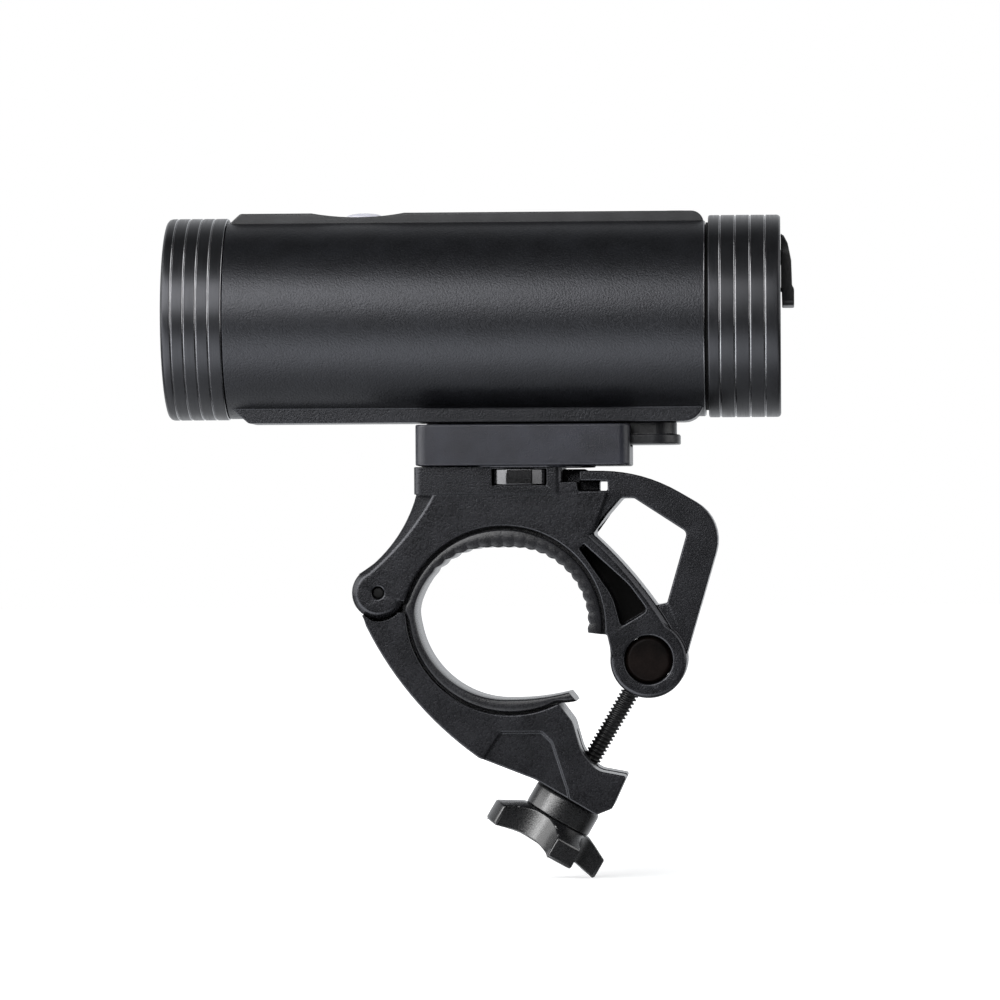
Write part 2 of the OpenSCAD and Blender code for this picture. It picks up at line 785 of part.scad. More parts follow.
// The brace loop from the flat top's rear end round to the eye
module loop_shape() {
  bend_r = 25.7;
  corner_r = 7.3;
  difference() {
    polygon(rounded([
      [tip_x, slot_z1, 0], [tip_x, tongue_z1 - 0.1, 0], [eye_behind - 0.7, base_up - 0.9, bend_r],
      [eye_behind + 12.95, base_up - 8.9, corner_r], [eye_behind + 6.1, -eye_down, 0],
      [eye_behind, -eye_down, 0], [crotch[0] - 1, crotch[1] - 3, 0], [crotch[0] - 1, slot_z0 - 0.5, 0],
      [tongue_x1, slot_z0 - 0.5, 0], [tongue_x1, slot_z1, 0]
    ]));
    polygon(rounded([
      [crotch[0], crotch[1], 0.9], [crotch[0] + 4.5, base_up - 5.3, 0.8],
      [crotch[0] + 6.5, base_up - 5.3, 1.5], [eye_behind + 6.5, base_up - 11.1, 1],
      [eye_behind + 3.1, -eye_down + 9.4, 0.4], [eye_behind, -eye_down + 8.8, 0],
      [crotch[0] - 0.5, crotch[1] - 6, 0]
    ]));
  }
}

// The three-cornered pocket in each face of the rear arm
module pocket_shape() {
  polygon(rounded([
    [eye_behind - 11.5, base_up - 13.7, 0.2], [eye_behind - 10.7, base_up - 13, 0.2],
    [eye_behind - 3.2, 12.45 - eye_down, 12], [eye_behind - 0.1, 8.2 - eye_down, 0.8],
    [eye_behind - 4.6, 5.6 - eye_down, 0.5], [eye_behind - 5.9, 10.5 - eye_down, 9]
  ]));
}

module upper_jaw() {
  eye_slot_w = screw_d + 4 * free;
  window_w = 2 * nut_r + 2 * free;
  color("#17181a")
    difference() {
      union() {
        difference() {
          slab(jaw_w) crown_shape();
          translate(lift(flank)) drum(flank_r, jaw_w + cut, 0);
          translate(lift(bevel)) waist(bevel_r - bevel_t, jaw_w + run, bevel_t);
        }
        round_plate(-base_ahead, ledge_x0, jaw_w + 2 * base_lip, 1.2, base_z0, base_up);
        intersection() {
          slab(jaw_w) arm_shape();
          translate(lift(arm)) drum(arm_r, jaw_w, chamfer);
        }
        slab(loop_w) loop_shape();
        slab(catch_w) catch_shape();
        translate(lift(pin)) drum(ear_r, jaw_w, chamfer);
        translate(lift(eye)) drum(eye_r, jaw_w, chamfer / 2);
      }
      // The handlebar's bore, open below
      translate(lift(upper_bore)) drum(upper_bore_r, jaw_w + cut, 0);
      // The hinge: room for the lower jaw's knuckle, and the pin's holes
      translate(lift(pin)) drum(ear_r + free, knuckle_w + 2 * free, 0);
      translate(lift(pin)) drum(pin_d / 2 + run / 2, jaw_w + cut, 0);
      // The eye of the barrel nut, split for the screw
      translate(lift(eye)) drum(barrel_d / 2 + run, jaw_w + cut, 0);
      translate(lift(eye)) drum(eye_r + 2 * free, eye_slot_w, 0);
      for (side = [-1, 1])
        translate([0, side * (rim_t + jaw_w) / 2 + side * rim_t / 2, 0])
          slab(jaw_w) pocket_shape();
      // The window that takes the pivot's nut, and the pivot's hole
      block_span = jaw_w / 2 + cut + nut_af / 2 + free;
      translate([pivot_behind - window_w / 2, -jaw_w / 2 - cut, nut_z0 - seat])
        cube([window_w, block_span, nut_t + seat]);
      translate([pivot_behind, 0, nut_z0 - 1.2])
        cylinder(d = pivot_d + 2 * seat, h = base_t + cut);
    }
}

module upper_pad() {
  color("#2b2c2e")
    slab(pad_w)
      intersection() {
        difference() {
          translate(upper_bore) circle(r = upper_bore_r - seat);
          circle(r = bar_r);
          translate([-pad_swell, 0]) circle(r = bar_r);
          translate([-pad_swell, 0]) square([pad_swell, bar_r]);
        }
        polygon([
          [-2 * bar_r, pad_split_z], [0, pad_split_z], [0, pad_end_z], [2 * bar_r, pad_end_z],
          [2 * bar_r, 2 * bar_r], [-2 * bar_r, 2 * bar_r]
        ]);
      }
}

module hinge_pin() {
  color("#3a3b3e")
    translate(lift(pin)) drum(pin_d / 2, jaw_w - 2 * free, 0.2);
}

// The lower jaw's outline, from the hinge down to the fork under the barrel nut
module lower_jaw_shape() {
  bow = pin + bar_r * [4, 1.6];
  bow_r = 4.63 * bar_r;
  bow_a = 204.2;
  bow_sweep = 30.4;
  lip = lower_bore + lower_bore_r * [cos(-63), sin(-63)];
  difference() {
    polygon(concat(
      arc(bow, bow_r, bow_a, bow_sweep, 16),
      rounded([
        concat(at_screw(grip_l, -6.4), [0]), concat(at_screw(grip_l, 5.4), [0.8]),
        concat(at_screw(grip_l - 2.3, 7.2), [0.8]), concat(at_screw(grip_l - 8.2, 6.6), [0.4]),
        concat(at_screw(grip_l - 6.5, 1.9), [3]), concat(eye + [-11.3, -15.2], [5]),
        concat(eye + [-12.7, -10.3], [3]), concat(lip, [0]), [0, 0, 0],
        [-upper_bore_r - 1.8, pin[1] - 3.3, 0]
      ])
    ));
    translate(lower_bore) circle(r = lower_bore_r);
    translate(pin) circle(r = socket_r);
  }
}

module panel_shape() {
  polygon(rounded([
    concat(at_screw(grip_l + 2, -15.5), [0]), concat(at_screw(grip_l - 3.9, -15.3), [0.6]),
    concat(at_screw(grip_l - 7.4, -9.4), [1]), concat(at_screw(grip_l - 6.8, -7), [2]),
    concat(at_screw(grip_l - 1.4, -1), [6]), concat(at_screw(grip_l + 2, 2), [0])
  ]));
}

module lower_jaw() {
  panel_t = 0.8;
  web_shape = [pin, pin + [ear_r, -socket_r - 1.5], pin + [0.5, -socket_r - 4], pin + [-2.6, -socket_r]];
  color("#17181a")
    difference() {
      union() {
        slab(jaw_w) lower_jaw_shape();
        translate(lift(pin)) drum(ear_r, knuckle_w, 0);
        slab(knuckle_w)
          difference() {
            polygon(web_shape);
            translate(lower_bore) circle(r = lower_bore_r);
          }
      }
      translate(lift(pin)) drum(pin_d / 2 + run, jaw_w + cut, 0);
      // The fork, open at its rear end for the screw
      on_screw(grip_l / 2)
        translate([-fork_s - grip_l, -fork_w / 2, 0])
          cube([grip_l, fork_w, grip_l]);
      for (side = [-1, 1])
        translate([0, side * (jaw_w - panel_t), 0])
          slab(jaw_w) panel_shape();
    }
}

// The rear end of the lower pad lies straighter than the handlebar, past the jaw's lip
module pad_tail() {
  flat_r = 3 * bar_r;
  end_x = eye_behind - 12.6;
  end_z = flat_r - bar_r - sqrt(flat_r * flat_r - end_x * end_x);
  end_a = asin(end_x / flat_r);
  polygon(concat(
    arc(lower_bore, lower_bore_r - 2 * seat, 266, 32, 10),
    [[end_x + free, end_z - 1.8]],
    arc([0, flat_r - bar_r], flat_r, 270 + end_a, -end_a, 8),
    [[-1, -bar_r - 0.4]]
  ));
}

module lower_pad() {
  reach = 2 * lower_bore_r;
  color("#2b2c2e")
    slab(pad_w)
      difference() {
        union() {
          difference() {
            translate(lower_bore) circle(r = lower_bore_r - seat);
            translate(lower_inner) circle(r = lower_inner_r);
            translate([0, -reach]) square([reach, 2 * reach]);
          }
          pad_tail();
        }
        circle(r = bar_r);
        translate([-reach, pad_split_z - pad_gap]) square([reach, reach]);
      }
}

module barrel_nut() {
  color("#1b1815")
    difference() {
      translate(lift(eye)) drum(barrel_d / 2, jaw_w - 4 * free, 0.6);
      on_screw(-barrel_d)
        cylinder(d = screw_d + 2 * run, h = 2 * barrel_d);
    }
}

module clamp_screw() {
  color("#141416")
    on_screw(screw_n0)
      cylinder(d = screw_d, h = knob_n + lobe_t / 2 - screw_n0);
}

module knob_collar() {
  color("#2e2f33")
    on_screw(collar_n)
      rotate_extrude()
        polygon([
          [screw_d / 2 + run, 0], [collar_d / 2 - 0.3, 0], [collar_d / 2, 0.3],
          [collar_d / 2, collar_l], [screw_d / 2 + run, collar_l]
        ]);
}

module clamp_knob() {
  droop = 2.2;
  root_r = collar_d / 2 + 0.3;
  tip_w = 4.8;
  lobe_a = 67;
  half = 180 / lobe_count;
  // The scoop between two lobes touches the root circle and both lobes' corners
  tip = [knob_r * cos(asin(tip_w / 2 / knob_r)), tip_w / 2];
  scoop_at = (tip * tip - root_r * root_r) / (2 * (tip * [cos(half), sin(half)] - root_r));
  color("#1b1c1f")
    on_screw(knob_n)
      difference() {
        rotate_extrude()
          polygon(rounded([
            [0, 0, 0], [root_r, 0, 2], [knob_r, droop, 0.5], [knob_r, droop + lobe_t, 0.5],
            [root_r, lobe_t + droop / 2, 2], [0, lobe_t + droop / 2, 0]
          ]));
        for (i = [0:lobe_count - 1])
          rotate([0, 0, lobe_a + 2 * half * i + half])
            translate([scoop_at, 0, -cut])
              cylinder(r = scoop_at - root_r, h = lobe_t + droop + 2 * cut);
        translate([0, 0, -cut])
          cylinder(d = screw_d + 2 * run, h = cut + lobe_t / 2 + run);
      }
}

body_tube();
front_bezel();
front_seal();
lens();
lens_gasket();
reflector();
led_board();
led_emitter();
driver_board();
battery_cell();
battery_holder();
tail_cap();
tail_seal();
port_cover();
usb_socket();
top_strip();
power_button();
tact_switch();
rail();
rail_screws();
receiver_block();
pivot_screw();
pivot_washer();
pivot_nut();
upper_jaw();
upper_pad();
hinge_pin();
lower_jaw();
lower_pad();
barrel_nut();
clamp_screw();
knob_collar();
clamp_knob();
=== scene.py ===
"""Looks of a bike headlight on its handlebar clamp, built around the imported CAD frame. Metres, +Z up."""

import json
import math

import bmesh
import bpy
from mathutils import Matrix, Vector


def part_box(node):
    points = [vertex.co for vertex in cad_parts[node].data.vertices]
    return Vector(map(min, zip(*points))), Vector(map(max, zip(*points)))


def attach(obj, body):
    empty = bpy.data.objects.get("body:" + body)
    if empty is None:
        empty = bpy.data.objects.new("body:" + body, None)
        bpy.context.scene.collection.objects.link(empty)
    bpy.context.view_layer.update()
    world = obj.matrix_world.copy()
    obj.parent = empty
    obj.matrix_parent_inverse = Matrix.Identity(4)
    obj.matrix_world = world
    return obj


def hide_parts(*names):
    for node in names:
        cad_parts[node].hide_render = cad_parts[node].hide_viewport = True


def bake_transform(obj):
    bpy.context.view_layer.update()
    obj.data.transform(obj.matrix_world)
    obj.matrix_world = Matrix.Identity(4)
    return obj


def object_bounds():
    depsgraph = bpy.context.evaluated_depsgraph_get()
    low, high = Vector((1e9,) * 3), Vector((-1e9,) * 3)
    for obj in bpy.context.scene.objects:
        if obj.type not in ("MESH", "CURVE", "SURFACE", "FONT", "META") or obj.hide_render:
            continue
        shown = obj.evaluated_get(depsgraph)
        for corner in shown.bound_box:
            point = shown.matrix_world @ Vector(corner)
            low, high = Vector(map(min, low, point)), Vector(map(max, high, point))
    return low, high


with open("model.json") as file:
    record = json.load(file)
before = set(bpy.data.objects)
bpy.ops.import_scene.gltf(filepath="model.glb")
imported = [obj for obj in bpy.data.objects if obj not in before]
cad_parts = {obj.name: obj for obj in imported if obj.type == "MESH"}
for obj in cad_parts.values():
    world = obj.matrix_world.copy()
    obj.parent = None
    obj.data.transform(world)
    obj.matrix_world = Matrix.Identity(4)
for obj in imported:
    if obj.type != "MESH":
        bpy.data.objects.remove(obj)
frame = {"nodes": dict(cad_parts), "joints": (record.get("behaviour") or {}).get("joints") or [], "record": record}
CAD_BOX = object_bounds()
MM = 0.001
JOINTS = {joint["name"]: joint for joint in frame["joints"]}
BODY_OF = {node: body for body, nodes in frame["record"]["behaviour"]["bodies"].items() for node in nodes}
SLOT_OF = {part["node"]: part["material_slot"] for part in frame["record"]["subparts"]}


# Camera

CAMERA_AT = Vector((44.83, -1000.0, 14.0)) * MM
CAMERA_AIM = Vector((-2.3, 0.0, 20.7)) * MM
CAMERA_LENS = 214.0
CAMERA_SENSOR = 36.0
CAMERA_REACH = 20.0
CAMERA_ROLL = math.radians(0.3)


def add_camera():
    """The photograph's camera: a long lens, square on to the side, the horizon turned a little."""
    data = bpy.data.cameras.new("camera")
    data.lens = CAMERA_LENS
    data.sensor_width = CAMERA_SENSOR
    data.clip_end = CAMERA_REACH
    camera = bpy.data.objects.new("camera", data)
    bpy.context.scene.collection.objects.link(camera)
    forward = (CAMERA_AIM - CAMERA_AT).normalized()
    right = forward.cross(Vector((0, 0, 1))).normalized()
    up = right.cross(forward)
    cos, sin = math.cos(CAMERA_ROLL), math.sin(CAMERA_ROLL)
    axes = Matrix((right * cos - up * sin, up * cos + right * sin, -forward)).transposed()
    camera.matrix_world = Matrix.Translation(CAMERA_AT) @ axes.to_4x4()
    bpy.context.scene.camera = camera


# Shader nodes

def node_adder(tree):
    """A function that adds a shader node, sets its inputs, and links those given as sockets."""

    def add(kind, settings=None, **inputs):
        node = tree.nodes.new("ShaderNode" + kind)
        for name, value in (settings or {}).items():
            setattr(node, name, value)
        for name, value in inputs.items():
            socket = node.inputs[int(name[1:])] if name[1:].isdigit() else node.inputs[name.replace("_", " ")]
            if isinstance(value, bpy.types.NodeSocket):
                tree.links.new(value, socket)
            else:
                socket.default_value = value
        return node

    return add


def fade(add, value, start, end, first, last):
    """A level that runs from first to last while value runs from start to end."""
    return add("MapRange", Value=value, From_Min=start, From_Max=end, To_Min=first, To_Max=last).outputs[0]


def combine(add, operation, *values):
    """The result of a sum, product or other operation on values."""
    inputs = {f"_{i}": value for i, value in enumerate(values)}
    return add("Math", {"operation": operation}, **inputs).outputs[0]


# Room, floor and lamps

WHITE = (1.0, 1.0, 1.0, 1.0)
ROOM_TINT = (0.95, 0.97, 1.0, 1.0)
FILL_TINT = (0.93, 0.96, 1.0, 1.0)
FILL_LEVEL = 0.22

# Zones of the room that shiny faces mirror: a start and an end along a direction, and the level at each
BACK_WALL = (0.3, 0.9, 0.04, 1.0)
SHEET_SLANT = 0.4
SHEET_TOP = (-0.58, -0.3, 3.5, 0.0)
SHEET_BOTTOM = (-0.9, -0.72, 0.0, 1.0)
SHEET_FRONT = (-0.15, 0.1, 1.0, 0.0)
SHEET_LEFT = (-0.05, 0.0, 1.0, 0.45)
GROUND = (-0.9, -0.72, 1.0, 0.0)
GROUND_LEFT = (-0.09, 0.0, 1.0, 0.1)

FLOOR_HALF = 4.0
FLOOR_PAINT = (0.82, 0.82, 0.82, 1.0)
FLOOR_LIFT = (0.12, 0.35, 0.45, 1.0)

LIGHT_AIM = (0.0, 0.0, 0.04)
# Each lamp's place, size and radiance
SOFTBOXES = {
    "key": ((-0.36, -0.62, 0.38), (0.8, 0.5), 5.8),
    "side_left": ((-0.85, -0.2, 0.32), (1.0, 0.74), 2.6),
    "side_right": ((0.8, -0.15, 0.42), (0.9, 1.0), 2.0),
}


def add_world():
    """White behind the object; its faces mirror a dark room with a pale sheet low in front; plain fill."""
    world = bpy.data.worlds.new("studio")
    bpy.context.scene.world = world
    world.use_nodes = True
    world.node_tree.nodes.clear()
    add = node_adder(world.node_tree)
    path = add("LightPath").outputs
    towards = add("SeparateXYZ", Vector=add("TexCoord").outputs["Generated"]).outputs
    back = fade(add, towards["Y"], *BACK_WALL)
    slanted = combine(add, "MULTIPLY_ADD", towards["X"], SHEET_SLANT, towards["Z"])
    sheet = fade(add, slanted, *SHEET_TOP)
    for axis, zone in (("Z", SHEET_BOTTOM), ("Y", SHEET_FRONT), ("X", SHEET_LEFT)):
        sheet = combine(add, "MULTIPLY", sheet, fade(add, towards[axis], *zone))
    ground = combine(add, "MULTIPLY", fade(add, towards["Z"], *GROUND), fade(add, towards["X"], *GROUND_LEFT))
    level = combine(add, "ADD", back, combine(add, "ADD", sheet, ground))
    mirrored = combine(add, "MAXIMUM", path["Is Glossy Ray"], path["Is Transmission Ray"])
    fill = add("Background", Color=FILL_TINT, Strength=FILL_LEVEL).outputs[0]
    room = add("Background", Color=ROOM_TINT, Strength=level).outputs[0]
    white = add("Background", Color=WHITE, Strength=1.0).outputs[0]
    lit = add("MixShader", Fac=mirrored, _1=fill, _2=room).outputs[0]
    seen = add("MixShader", Fac=path["Is Camera Ray"], _1=lit, _2=white).outputs[0]
    add("OutputWorld", Surface=seen)


def add_floor():
    """A pale floor under the knob. The camera sees it white, apart from the object's shadow."""
    half = FLOOR_HALF
    height = CAD_BOX[0][2]
    corners = [(-half, -half), (half, -half), (half, half), (-half, half)]
    mesh = bpy.data.meshes.new("floor")
    mesh.from_pydata([(x, y, height) for x, y in corners], [], [(0, 1, 2, 3)])
    floor = bpy.data.objects.new("floor", mesh)
    bpy.context.scene.collection.objects.link(floor)
    floor.visible_glossy = False
    material = bpy.data.materials.new("floor")
    material.use_nodes = True
    material.node_tree.nodes.clear()
    add = node_adder(material.node_tree)
    path = add("LightPath").outputs
    away = add("VectorMath", {"operation": "LENGTH"}, _0=add("TexCoord").outputs["Object"]).outputs["Value"]
    lift = combine(add, "MULTIPLY", fade(add, away, *FLOOR_LIFT), path["Is Camera Ray"])
    paint = add("BsdfDiffuse", Color=FLOOR_PAINT).outputs[0]
    glow = add("Emission", Color=WHITE, Strength=lift).outputs[0]
    both = add("AddShader", _0=paint, _1=glow).outputs[0]
    add("OutputMaterial", Surface=both)
    mesh.materials.append(material)


def add_softbox(name, at, size, radiance):
    """A rectangular lamp of that radiance, which faces the object and isn't seen by the camera."""
    data = bpy.data.lights.new(name, "AREA")
    data.shape = "RECTANGLE"
    data.size, data.size_y = size
    data.energy = radiance * math.pi * size[0] * size[1]
    lamp = bpy.data.objects.new(name, data)
    bpy.context.scene.collection.objects.link(lamp)
    facing = (Vector(LIGHT_AIM) - Vector(at)).to_track_quat("-Z", "Y").to_matrix().to_4x4()
    lamp.matrix_world = Matrix.Translation(at) @ facing
    lamp.visible_camera = False


bpy.context.scene.view_settings.view_transform = "Standard"
add_camera()
add_world()
add_floor()
for name, (at, size, radiance) in SOFTBOXES.items():
    add_softbox(name, at, size, radiance)


# Materials

PATCH_SIZE = 4.5 * MM
PATCH_CONTRAST = (0.35, 0.65)
GRAIN_CONTRAST = (0.3, 0.7)


def finish(name, colour, rough, grain, bump, mottle=0.25, spread=0.05, stretch=(1, 1, 1), **shader):
    """A solid finish: colour varies in soft patches, gloss with a fine grain, which stands as bump.

    grain and bump, the size and height of the grain, are in millimetres. shader sets other inputs.
    """
    material = bpy.data.materials.new(name)
    material.use_nodes = True
    tree = material.node_tree
    add = node_adder(tree)
    bsdf = tree.nodes["Principled BSDF"]
    where = add("TexCoord").outputs["Object"]
    patches = add("TexNoise", Vector=where, Scale=1 / PATCH_SIZE, Detail=4.0).outputs["Fac"]
    tint = add("Mix", {"data_type": "RGBA"}, Factor=fade(add, patches, *PATCH_CONTRAST, 0.0, 1.0))
    low, high = [socket for socket in tint.inputs if socket.type == "RGBA"]
    low.default_value = (*[c * (1 - mottle) for c in colour], 1.0)
    high.default_value = (*[min(1.0, c * (1 + mottle)) for c in colour], 1.0)
    tinted = next(socket for socket in tint.outputs if socket.type == "RGBA")
    tree.links.new(tinted, bsdf.inputs["Base Color"])
    stretched = add("Mapping", Vector=where, Scale=stretch).outputs["Vector"]
    specks = add("TexNoise", Vector=stretched, Scale=1 / (grain * MM), Detail=2.0).outputs["Fac"]
    gloss = fade(add, specks, *GRAIN_CONTRAST, rough - spread, rough + spread)
    tree.links.new(gloss, bsdf.inputs["Roughness"])
    raised = add("Bump", Strength=1.0, Distance=bump * MM, Height=specks).outputs["Normal"]
    tree.links.new(raised, bsdf.inputs["Normal"])
    for socket, value in shader.items():
        bsdf.inputs[socket.replace("_", " ")].default_value = value
    return material


TURNED = (1.0, 0.02, 0.02)
BLUISH = (0.92, 0.93, 1.0, 1.0)

FINISHES = {
    "body_black": dict(
        colour=(0.0042, 0.0045, 0.0054), rough=0.36, grain=0.3, bump=0.04,
        Specular_IOR_Level=0.5, Specular_Tint=BLUISH,
    ),
    "ring_black": dict(
        colour=(0.0055, 0.0057, 0.0063), rough=0.33, grain=0.12, bump=0.002, stretch=TURNED,
        Specular_IOR_Level=0.5, Specular_Tint=BLUISH,
    ),
    "groove_cut": dict(
        colour=(0.32, 0.32, 0.33), rough=0.24, grain=0.05, bump=0.001, stretch=TURNED, Metallic=1.0,
    ),
    "strip_black": dict(colour=(0.012, 0.0124, 0.014), rough=0.42, grain=0.3, bump=0.006),
    "button_white": dict(
        colour=(0.56, 0.56, 0.63), rough=0.35, grain=0.5, bump=0.002, mottle=0.06,
        Subsurface_Weight=0.4, Subsurface_Radius=(0.004, 0.004, 0.005), Subsurface_Scale=0.6,
        Transmission_Weight=0.15,
    ),
    "cover_rubber": dict(colour=(0.009, 0.009, 0.0095), rough=0.42, grain=0.18, bump=0.008),
    "seal_rubber": dict(
        colour=(0.0025, 0.0025, 0.0025), rough=0.6, grain=0.2, bump=0.006, Specular_IOR_Level=0.15,
    ),
    "reflector_metal": dict(
        colour=(0.82, 0.83, 0.85), rough=0.1, grain=0.9, bump=0.025, mottle=0.03, spread=0.03, Metallic=1.0,
    ),
    "lamp_board": dict(colour=(0.78, 0.78, 0.75), rough=0.45, grain=0.4, bump=0.004, mottle=0.05),
    "lamp_yellow": dict(
        colour=(0.85, 0.62, 0.12), rough=0.2, grain=0.3, bump=0.001, mottle=0.1, Coat_Weight=0.8,
    ),
    "board_green": dict(colour=(0.02, 0.14, 0.05), rough=0.35, grain=0.5, bump=0.005),
    "cell_sleeve": dict(colour=(0.05, 0.18, 0.32), rough=0.35, grain=0.8, bump=0.006),
    "holder_grey": dict(colour=(0.05, 0.05, 0.055), rough=0.5, grain=0.3, bump=0.008),
    "socket_steel": dict(
        colour=(0.55, 0.55, 0.57), rough=0.28, grain=0.2, bump=0.002, mottle=0.08, Metallic=1.0,
    ),
    "switch_black": dict(colour=(0.02, 0.02, 0.02), rough=0.5, grain=0.3, bump=0.006),
    "rail_black": dict(colour=(0.0060, 0.0062, 0.0076), rough=0.36, grain=0.26, bump=0.016),
    "screw_steel": dict(
        colour=(0.5, 0.5, 0.52), rough=0.3, grain=0.2, bump=0.003, mottle=0.08, Metallic=1.0,
    ),
    "block_slate": dict(colour=(0.0135, 0.0142, 0.0200), rough=0.36, grain=0.26, bump=0.024),
    "nut_black": dict(
        colour=(0.125, 0.125, 0.129), rough=0.19, grain=0.15, bump=0.002, mottle=0.15, Metallic=1.0,
    ),
    "jaw_black": dict(
        colour=(0.0066, 0.0067, 0.0077), rough=0.28, grain=0.28, bump=0.034, mottle=0.4,
        Specular_IOR_Level=0.47, Specular_Tint=BLUISH,
    ),
    # Painted shade: a darker, duller copy of the jaw plastic for the floors of the upper jaw's rear pockets, where
    # shade falls
    "pocket_painted_shade": dict(
        colour=(0.0030, 0.0027, 0.0026), rough=0.6, grain=0.5, bump=0.02, mottle=0.5,
        Specular_IOR_Level=0.12,
    ),
    "pad_rubber": dict(
        colour=(0.0125, 0.0127, 0.0145), rough=0.28, grain=0.22, bump=0.024, Specular_IOR_Level=0.4,
    ),
    "pin_steel": dict(
        colour=(0.006, 0.006, 0.006), rough=0.4, grain=0.2, bump=0.003, Specular_IOR_Level=0.2,
    ),
    "barrel_black": dict(
        colour=(0.0034, 0.0022, 0.0019), rough=0.45, grain=0.45, bump=0.024, mottle=0.7,
        Specular_IOR_Level=0.06,
    ),
    "screw_black": dict(colour=(0.012, 0.012, 0.0125), rough=0.34, grain=0.2, bump=0.003, Metallic=0.3),
    "knob_black": dict(
        colour=(0.0070, 0.0071, 0.0078), rough=0.27, grain=0.3, bump=0.016, Specular_IOR_Level=0.95,
    ),
    "lens_clear": dict(
        colour=(0.96, 0.98, 1.0), rough=0.05, grain=3.0, bump=0.002, mottle=0.01, spread=0.02,
        Transmission_Weight=1.0, IOR=1.49,
    ),
}
MATERIALS = {name: finish(name, **settings) for name, settings in FINISHES.items()}


# Ways to make a piece

WELD = 0.01 * MM
FLAT_ANGLE = 0.6


def smooth(value, low, high):
    """From 0 at low to 1 at high, eased at both ends."""
    t = min(1.0, max(0.0, (value - low) / (high - low)))
    return t * t * (3 - 2 * t)


def place(name, bm, body, slot, extra_slots=(), sharp_angle=35.0):
    """A bmesh as a finished piece, which rides on a body if one is given."""
    bmesh.ops.recalc_face_normals(bm, faces=bm.faces)
    wide = [face for face in bm.faces if len(face.verts) > 4]
    bmesh.ops.triangulate(bm, faces=wide, ngon_method="EAR_CLIP")
    mesh = bpy.data.meshes.new(name)
    bm.to_mesh(mesh)
    bm.free()
    mesh.shade_smooth()
    mesh.set_sharp_from_angle(angle=math.radians(sharp_angle))
    for each in (slot, *extra_slots):
        mesh.materials.append(MATERIALS[each])
    piece = bpy.data.objects.new(name, mesh)
    bpy.context.scene.collection.objects.link(piece)
    if body:
        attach(piece, body)
    return piece


def loft(bm, rows):
    """Quads between rows of vertices, each row closed on itself, and a face over each end."""
    for low, high in zip(rows, rows[1:]):
        for i in range(len(low)):
            j = (i + 1) % len(low)
            bm.faces.new((low[i], low[j], high[j], high[i]))
    bm.faces.new(rows[0])
    bm.faces.new(rows[-1])


def round_edges(bm, width, segments, sharp, chosen=None):
    """Rounds the edges that turn by more than sharp degrees, or those of them that are chosen."""
    edges = [e for e in bm.edges if e.is_manifold and e.calc_face_angle() > math.radians(sharp)]
    if chosen:
        edges = [e for e in edges if chosen((e.verts[0].co + e.verts[1].co) / 2)]
    bmesh.ops.bevel(
        bm,
        geom=edges,
        offset=width,
        offset_type="OFFSET",
        segments=segments,
        profile=0.5,
        affect="EDGES",
        clamp_overlap=False,
        loop_slide=True,
        miter_outer="ARC",
        material=-1,
    )


def softened(node, width, segments=3, sharp=28.0, paint=None, extra_slots=(), shape=None, fine=None):
    """The CAD node with its sharp edges rounded, as moulded or tumbled edges are.

    shape moves a corner before the rounding; fine is a smaller width and where it is used instead.
    paint says which faces take the first of the extra slots.
    """
    bm = bmesh.new()
    bm.from_mesh(frame["nodes"][node].data)
    bmesh.ops.remove_doubles(bm, verts=bm.verts, dist=WELD)
    if shape:
        for vert in bm.verts:
            vert.co = shape(vert.co)
    bmesh.ops.dissolve_limit(bm, angle_limit=math.radians(FLAT_ANGLE), verts=bm.verts, edges=bm.edges)
    if fine:
        fine_width, in_fine = fine
        round_edges(bm, width, segments, sharp, lambda point: not in_fine(point))
        round_edges(bm, fine_width, segments, sharp, in_fine)
    else:
        round_edges(bm, width, segments, sharp)
    bm.normal_update()
    for face in bm.faces:
        face.material_index = 1 if paint and paint(face) else 0
    piece = place(node + "_dressed", bm, BODY_OF[node], SLOT_OF[node], extra_slots)
    flat = piece.modifiers.new("flat_faces", "WEIGHTED_NORMAL")
    flat.keep_sharp = True
    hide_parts(node)


# Tube and rings, with bright turned cuts

BEZEL_LOW, BEZEL_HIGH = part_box("front_bezel")
BEZEL_R = (BEZEL_HIGH.z - BEZEL_LOW.z) / 2
CAP_LOW, CAP_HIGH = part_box("tail_cap")
CAP_R = (CAP_HIGH.z - CAP_LOW.z) / 2
TUBE_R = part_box("body_tube")[1].y
TUBE_AXIS_Z = (BEZEL_LOW.z + BEZEL_HIGH.z) / 2
CUT_DEPTH = 0.4 * MM
END_MARGIN = 0.9 * MM
RING_SLANT = 0.55
TUBE_SLANT = 0.25
SQUARE_ON = 0.95
RING_ROUND = dict(width=0.06 * MM, segments=2, sharp=20.0)
TUBE_ROUND = dict(width=0.2 * MM, segments=3, sharp=28.0)


def turned_cut(radius, x_from, x_to, slant):
    """A test of a turned piece's faces: whether one is slanted, and so a bright cut, between two places."""

    def cut(face):
        centre = face.calc_center_median()
        out = math.hypot(centre.y, centre.z - TUBE_AXIS_Z)
        on_rim = abs(out - radius) < CUT_DEPTH and x_from < centre.x < x_to
        return on_rim and slant < abs(face.normal.x) < SQUARE_ON

    return cut


def add_turned(node, rounding, radius, x_from, x_to, slant):
    """A turned piece in satin black, with its cuts bright."""
    cut = turned_cut(radius, x_from, x_to, slant)
    softened(node, **rounding, paint=cut, extra_slots=("groove_cut",))


add_turned("front_bezel", RING_ROUND, BEZEL_R, BEZEL_LOW.x + END_MARGIN, BEZEL_HIGH.x, RING_SLANT)
add_turned("tail_cap", RING_ROUND, CAP_R, CAP_LOW.x + END_MARGIN, CAP_HIGH.x - END_MARGIN, RING_SLANT)
add_turned("body_tube", TUBE_ROUND, TUBE_R, CAP_LOW.x - END_MARGIN, CAP_LOW.x, TUBE_SLANT)


# Housing, mount and small hardware, with their edges rounded by so many millimetres

